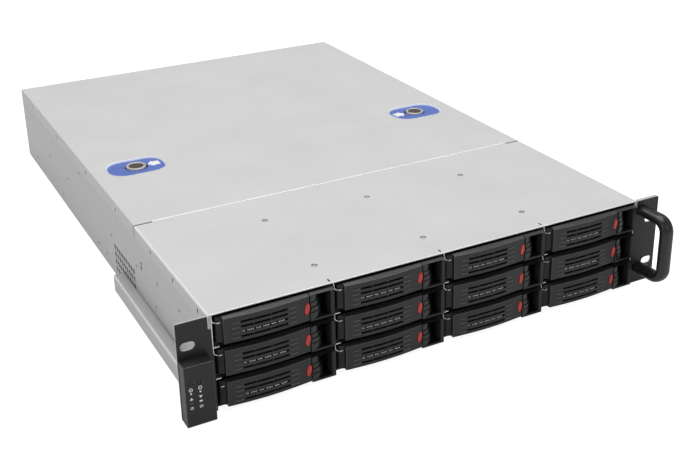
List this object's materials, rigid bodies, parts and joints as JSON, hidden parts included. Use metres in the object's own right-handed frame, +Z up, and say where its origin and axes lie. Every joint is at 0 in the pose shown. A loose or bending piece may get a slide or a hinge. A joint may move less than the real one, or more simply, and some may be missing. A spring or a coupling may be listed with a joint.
{
  "type": "rack-mount network attached storage server",
  "caption": "Rack-mount storage server: steel case, hot-swap drive trays with swing levers, rack ears, front handle, slide-off top cover and slide-in power supplies.",
  "frame": {"origin": "middle of the bottom of the bounding box", "axes": "+Y from the front with the drive trays to the rear, along the length; +Z up; +X to the right as seen from the front"},
  "size_m": [0.4826, 0.714, 0.0886],
  "materials": {
    "case_steel": "zinc-coated sheet, matt, fine grain",
    "cage_zinc": "bright zinc-coated sheet",
    "ear_black": "satin powder coat",
    "bezel_black": "fine moulded texture",
    "button_red": "smooth",
    "latch_blue": "smooth",
    "button_chrome": "plated rim, dark centre",
    "board_green": "solder mask",
    "fan_black": "moulded",
    "cooler_aluminium": "extruded",
    "supply_zinc": "zinc-coated sheet"
  },
  "bodies": {
    "chassis": {"chassis_base": "case_steel", "front_top_cover": "case_steel", "cable_channel": "case_steel", "drive_cage": "cage_zinc", "left_ear": "ear_black", "right_ear": "ear_black", "front_handle": "ear_black", "control_box": "bezel_black", "backplane": "board_green", "fan_wall": "fan_black", "main_board": "board_green", "processor_cooler": "cooler_aluminium"},
    "rear_cover": {"rear_top_cover": "case_steel", "cover_latch_left": "latch_blue", "cover_latch_right": "latch_blue"},
    "cover_button_left": {"cover_button_left": "button_chrome"},
    "cover_button_right": {"cover_button_right": "button_chrome"},
    "power_button": {"power_button": "bezel_black"},
    "reset_button": {"reset_button": "bezel_black"},
    "power_supply_lower": {"power_supply_lower": "supply_zinc"},
    "power_supply_upper": {"power_supply_upper": "supply_zinc"},
    "fan_rotor_1": {"fan_rotor_1": "fan_black"},
    "fan_rotor_2": {"fan_rotor_2": "fan_black"},
    "fan_rotor_3": {"fan_rotor_3": "fan_black"},
    "tray_r1c1": {"tray_r1c1": "bezel_black"},
    "lever_r1c1": {"lever_r1c1": "bezel_black"},
    "release_button_r1c1": {"release_button_r1c1": "button_red"},
    "tray_r1c2": {"tray_r1c2": "bezel_black"},
    "lever_r1c2": {"lever_r1c2": "bezel_black"},
    "release_button_r1c2": {"release_button_r1c2": "button_red"},
    "tray_r1c3": {"tray_r1c3": "bezel_black"},
    "lever_r1c3": {"lever_r1c3": "bezel_black"},
    "release_button_r1c3": {"release_button_r1c3": "button_red"},
    "tray_r1c4": {"tray_r1c4": "bezel_black"},
    "lever_r1c4": {"lever_r1c4": "bezel_black"},
    "release_button_r1c4": {"release_button_r1c4": "button_red"},
    "tray_r2c1": {"tray_r2c1": "bezel_black"},
    "lever_r2c1": {"lever_r2c1": "bezel_black"},
    "release_button_r2c1": {"release_button_r2c1": "button_red"},
    "tray_r2c2": {"tray_r2c2": "bezel_black"},
    "lever_r2c2": {"lever_r2c2": "bezel_black"},
    "release_button_r2c2": {"release_button_r2c2": "button_red"},
    "tray_r2c3": {"tray_r2c3": "bezel_black"},
    "lever_r2c3": {"lever_r2c3": "bezel_black"},
    "release_button_r2c3": {"release_button_r2c3": "button_red"},
    "tray_r2c4": {"tray_r2c4": "bezel_black"},
    "lever_r2c4": {"lever_r2c4": "bezel_black"},
    "release_button_r2c4": {"release_button_r2c4": "button_red"},
    "tray_r3c1": {"tray_r3c1": "bezel_black"},
    "lever_r3c1": {"lever_r3c1": "bezel_black"},
    "release_button_r3c1": {"release_button_r3c1": "button_red"},
    "tray_r3c2": {"tray_r3c2": "bezel_black"},
    "lever_r3c2": {"lever_r3c2": "bezel_black"},
    "release_button_r3c2": {"release_button_r3c2": "button_red"},
    "tray_r3c3": {"tray_r3c3": "bezel_black"},
    "lever_r3c3": {"lever_r3c3": "bezel_black"},
    "release_button_r3c3": {"release_button_r3c3": "button_red"},
    "tray_r3c4": {"tray_r3c4": "bezel_black"},
    "lever_r3c4": {"lever_r3c4": "bezel_black"},
    "release_button_r3c4": {"release_button_r3c4": "button_red"}
  },
  "joints": [
    {"name": "rear_cover_slide", "type": "slide", "parent": "chassis", "child": "rear_cover", "axis": [0, 1, 0], "range_m": [0, 0.02]},
    {"name": "cover_button_left_push", "type": "slide", "parent": "rear_cover", "child": "cover_button_left", "axis": [0, 0, -1], "range_m": [0, 0.0025], "stiffness_N_per_m": 600, "springref_m": -0.002},
    {"name": "cover_button_right_push", "type": "slide", "parent": "rear_cover", "child": "cover_button_right", "axis": [0, 0, -1], "range_m": [0, 0.0025], "stiffness_N_per_m": 600, "springref_m": -0.002},
    {"name": "power_button_push", "type": "slide", "parent": "chassis", "child": "power_button", "axis": [0, 1, 0], "range_m": [0, 0.001], "stiffness_N_per_m": 400, "springref_m": -0.001},
    {"name": "reset_button_push", "type": "slide", "parent": "chassis", "child": "reset_button", "axis": [0, 1, 0], "range_m": [0, 0.001], "stiffness_N_per_m": 400, "springref_m": -0.001},
    {"name": "power_supply_lower_slide", "type": "slide", "parent": "chassis", "child": "power_supply_lower", "axis": [0, 1, 0], "range_m": [0, 0.15]},
    {"name": "power_supply_upper_slide", "type": "slide", "parent": "chassis", "child": "power_supply_upper", "axis": [0, 1, 0], "range_m": [0, 0.15]},
    {"name": "fan_1_spin", "type": "hinge", "parent": "chassis", "child": "fan_rotor_1", "pos_m": [-0.128, -0.101, 0.044], "axis": [0, 1, 0], "continuous": true},
    {"name": "fan_2_spin", "type": "hinge", "parent": "chassis", "child": "fan_rotor_2", "pos_m": [0, -0.101, 0.044], "axis": [0, 1, 0], "continuous": true},
    {"name": "fan_3_spin", "type": "hinge", "parent": "chassis", "child": "fan_rotor_3", "pos_m": [0.128, -0.101, 0.044], "axis": [0, 1, 0], "continuous": true},
    {"name": "tray_r1c1_slide", "type": "slide", "parent": "chassis", "child": "tray_r1c1", "axis": [0, -1, 0], "range_m": [0, 0.17]},
    {"name": "lever_r1c1_swing", "type": "hinge", "parent": "tray_r1c1", "child": "lever_r1c1", "pos_m": [-0.206, -0.3164, 0.0727], "axis": [0, 0, -1], "range_deg": [0, 60]},
    {"name": "release_button_r1c1_push", "type": "slide", "parent": "lever_r1c1", "child": "release_button_r1c1", "axis": [0, 1, 0], "range_m": [0, 0.0015], "stiffness_N_per_m": 400, "springref_m": -0.001},
    {"name": "tray_r1c2_slide", "type": "slide", "parent": "chassis", "child": "tray_r1c2", "axis": [0, -1, 0], "range_m": [0, 0.17]},
    {"name": "lever_r1c2_swing", "type": "hinge", "parent": "tray_r1c2", "child": "lever_r1c2", "pos_m": [-0.1, -0.3164, 0.0727], "axis": [0, 0, -1], "range_deg": [0, 60]},
    {"name": "release_button_r1c2_push", "type": "slide", "parent": "lever_r1c2", "child": "release_button_r1c2", "axis": [0, 1, 0], "range_m": [0, 0.0015], "stiffness_N_per_m": 400, "springref_m": -0.001},
    {"name": "tray_r1c3_slide", "type": "slide", "parent": "chassis", "child": "tray_r1c3", "axis": [0, -1, 0], "range_m": [0, 0.17]},
    {"name": "lever_r1c3_swing", "type": "hinge", "parent": "tray_r1c3", "child": "lever_r1c3", "pos_m": [0.006, -0.3164, 0.0727], "axis": [0, 0, -1], "range_deg": [0, 60]},
    {"name": "release_button_r1c3_push", "type": "slide", "parent": "lever_r1c3", "child": "release_button_r1c3", "axis": [0, 1, 0], "range_m": [0, 0.0015], "stiffness_N_per_m": 400, "springref_m": -0.001},
    {"name": "tray_r1c4_slide", "type": "slide", "parent": "chassis", "child": "tray_r1c4", "axis": [0, -1, 0], "range_m": [0, 0.17]},
    {"name": "lever_r1c4_swing", "type": "hinge", "parent": "tray_r1c4", "child": "lever_r1c4", "pos_m": [0.112, -0.3164, 0.0727], "axis": [0, 0, -1], "range_deg": [0, 60]},
    {"name": "release_button_r1c4_push", "type": "slide", "parent": "lever_r1c4", "child": "release_button_r1c4", "axis": [0, 1, 0], "range_m": [0, 0.0015], "stiffness_N_per_m": 400, "springref_m": -0.001},
    {"name": "tray_r2c1_slide", "type": "slide", "parent": "chassis", "child": "tray_r2c1", "axis": [0, -1, 0], "range_m": [0, 0.17]},
    {"name": "lever_r2c1_swing", "type": "hinge", "parent": "tray_r2c1", "child": "lever_r2c1", "pos_m": [-0.206, -0.3164, 0.044], "axis": [0, 0, -1], "range_deg": [0, 60]},
    {"name": "release_button_r2c1_push", "type": "slide", "parent": "lever_r2c1", "child": "release_button_r2c1", "axis": [0, 1, 0], "range_m": [0, 0.0015], "stiffness_N_per_m": 400, "springref_m": -0.001},
    {"name": "tray_r2c2_slide", "type": "slide", "parent": "chassis", "child": "tray_r2c2", "axis": [0, -1, 0], "range_m": [0, 0.17]},
    {"name": "lever_r2c2_swing", "type": "hinge", "parent": "tray_r2c2", "child": "lever_r2c2", "pos_m": [-0.1, -0.3164, 0.044], "axis": [0, 0, -1], "range_deg": [0, 60]},
    {"name": "release_button_r2c2_push", "type": "slide", "parent": "lever_r2c2", "child": "release_button_r2c2", "axis": [0, 1, 0], "range_m": [0, 0.0015], "stiffness_N_per_m": 400, "springref_m": -0.001},
    {"name": "tray_r2c3_slide", "type": "slide", "parent": "chassis", "child": "tray_r2c3", "axis": [0, -1, 0], "range_m": [0, 0.17]},
    {"name": "lever_r2c3_swing", "type": "hinge", "parent": "tray_r2c3", "child": "lever_r2c3", "pos_m": [0.006, -0.3164, 0.044], "axis": [0, 0, -1], "range_deg": [0, 60]},
    {"name": "release_button_r2c3_push", "type": "slide", "parent": "lever_r2c3", "child": "release_button_r2c3", "axis": [0, 1, 0], "range_m": [0, 0.0015], "stiffness_N_per_m": 400, "springref_m": -0.001},
    {"name": "tray_r2c4_slide", "type": "slide", "parent": "chassis", "child": "tray_r2c4", "axis": [0, -1, 0], "range_m": [0, 0.17]},
    {"name": "lever_r2c4_swing", "type": "hinge", "parent": "tray_r2c4", "child": "lever_r2c4", "pos_m": [0.112, -0.3164, 0.044], "axis": [0, 0, -1], "range_deg": [0, 60]},
    {"name": "release_button_r2c4_push", "type": "slide", "parent": "lever_r2c4", "child": "release_button_r2c4", "axis": [0, 1, 0], "range_m": [0, 0.0015], "stiffness_N_per_m": 400, "springref_m": -0.001},
    {"name": "tray_r3c1_slide", "type": "slide", "parent": "chassis", "child": "tray_r3c1", "axis": [0, -1, 0], "range_m": [0, 0.17]},
    {"name": "lever_r3c1_swing", "type": "hinge", "parent": "tray_r3c1", "child": "lever_r3c1", "pos_m": [-0.206, -0.3164, 0.0153], "axis": [0, 0, -1], "range_deg": [0, 60]},
    {"name": "release_button_r3c1_push", "type": "slide", "parent": "lever_r3c1", "child": "release_button_r3c1", "axis": [0, 1, 0], "range_m": [0, 0.0015], "stiffness_N_per_m": 400, "springref_m": -0.001},
    {"name": "tray_r3c2_slide", "type": "slide", "parent": "chassis", "child": "tray_r3c2", "axis": [0, -1, 0], "range_m": [0, 0.17]},
    {"name": "lever_r3c2_swing", "type": "hinge", "parent": "tray_r3c2", "child": "lever_r3c2", "pos_m": [-0.1, -0.3164, 0.0153], "axis": [0, 0, -1], "range_deg": [0, 60]},
    {"name": "release_button_r3c2_push", "type": "slide", "parent": "lever_r3c2", "child": "release_button_r3c2", "axis": [0, 1, 0], "range_m": [0, 0.0015], "stiffness_N_per_m": 400, "springref_m": -0.001},
    {"name": "tray_r3c3_slide", "type": "slide", "parent": "chassis", "child": "tray_r3c3", "axis": [0, -1, 0], "range_m": [0, 0.17]},
    {"name": "lever_r3c3_swing", "type": "hinge", "parent": "tray_r3c3", "child": "lever_r3c3", "pos_m": [0.006, -0.3164, 0.0153], "axis": [0, 0, -1], "range_deg": [0, 60]},
    {"name": "release_button_r3c3_push", "type": "slide", "parent": "lever_r3c3", "child": "release_button_r3c3", "axis": [0, 1, 0], "range_m": [0, 0.0015], "stiffness_N_per_m": 400, "springref_m": -0.001},
    {"name": "tray_r3c4_slide", "type": "slide", "parent": "chassis", "child": "tray_r3c4", "axis": [0, -1, 0], "range_m": [0, 0.17]},
    {"name": "lever_r3c4_swing", "type": "hinge", "parent": "tray_r3c4", "child": "lever_r3c4", "pos_m": [0.112, -0.3164, 0.0153], "axis": [0, 0, -1], "range_deg": [0, 60]},
    {"name": "release_button_r3c4_push", "type": "slide", "parent": "lever_r3c4", "child": "release_button_r3c4", "axis": [0, 1, 0], "range_m": [0, 0.0015], "stiffness_N_per_m": 400, "springref_m": -0.001}
  ]
}
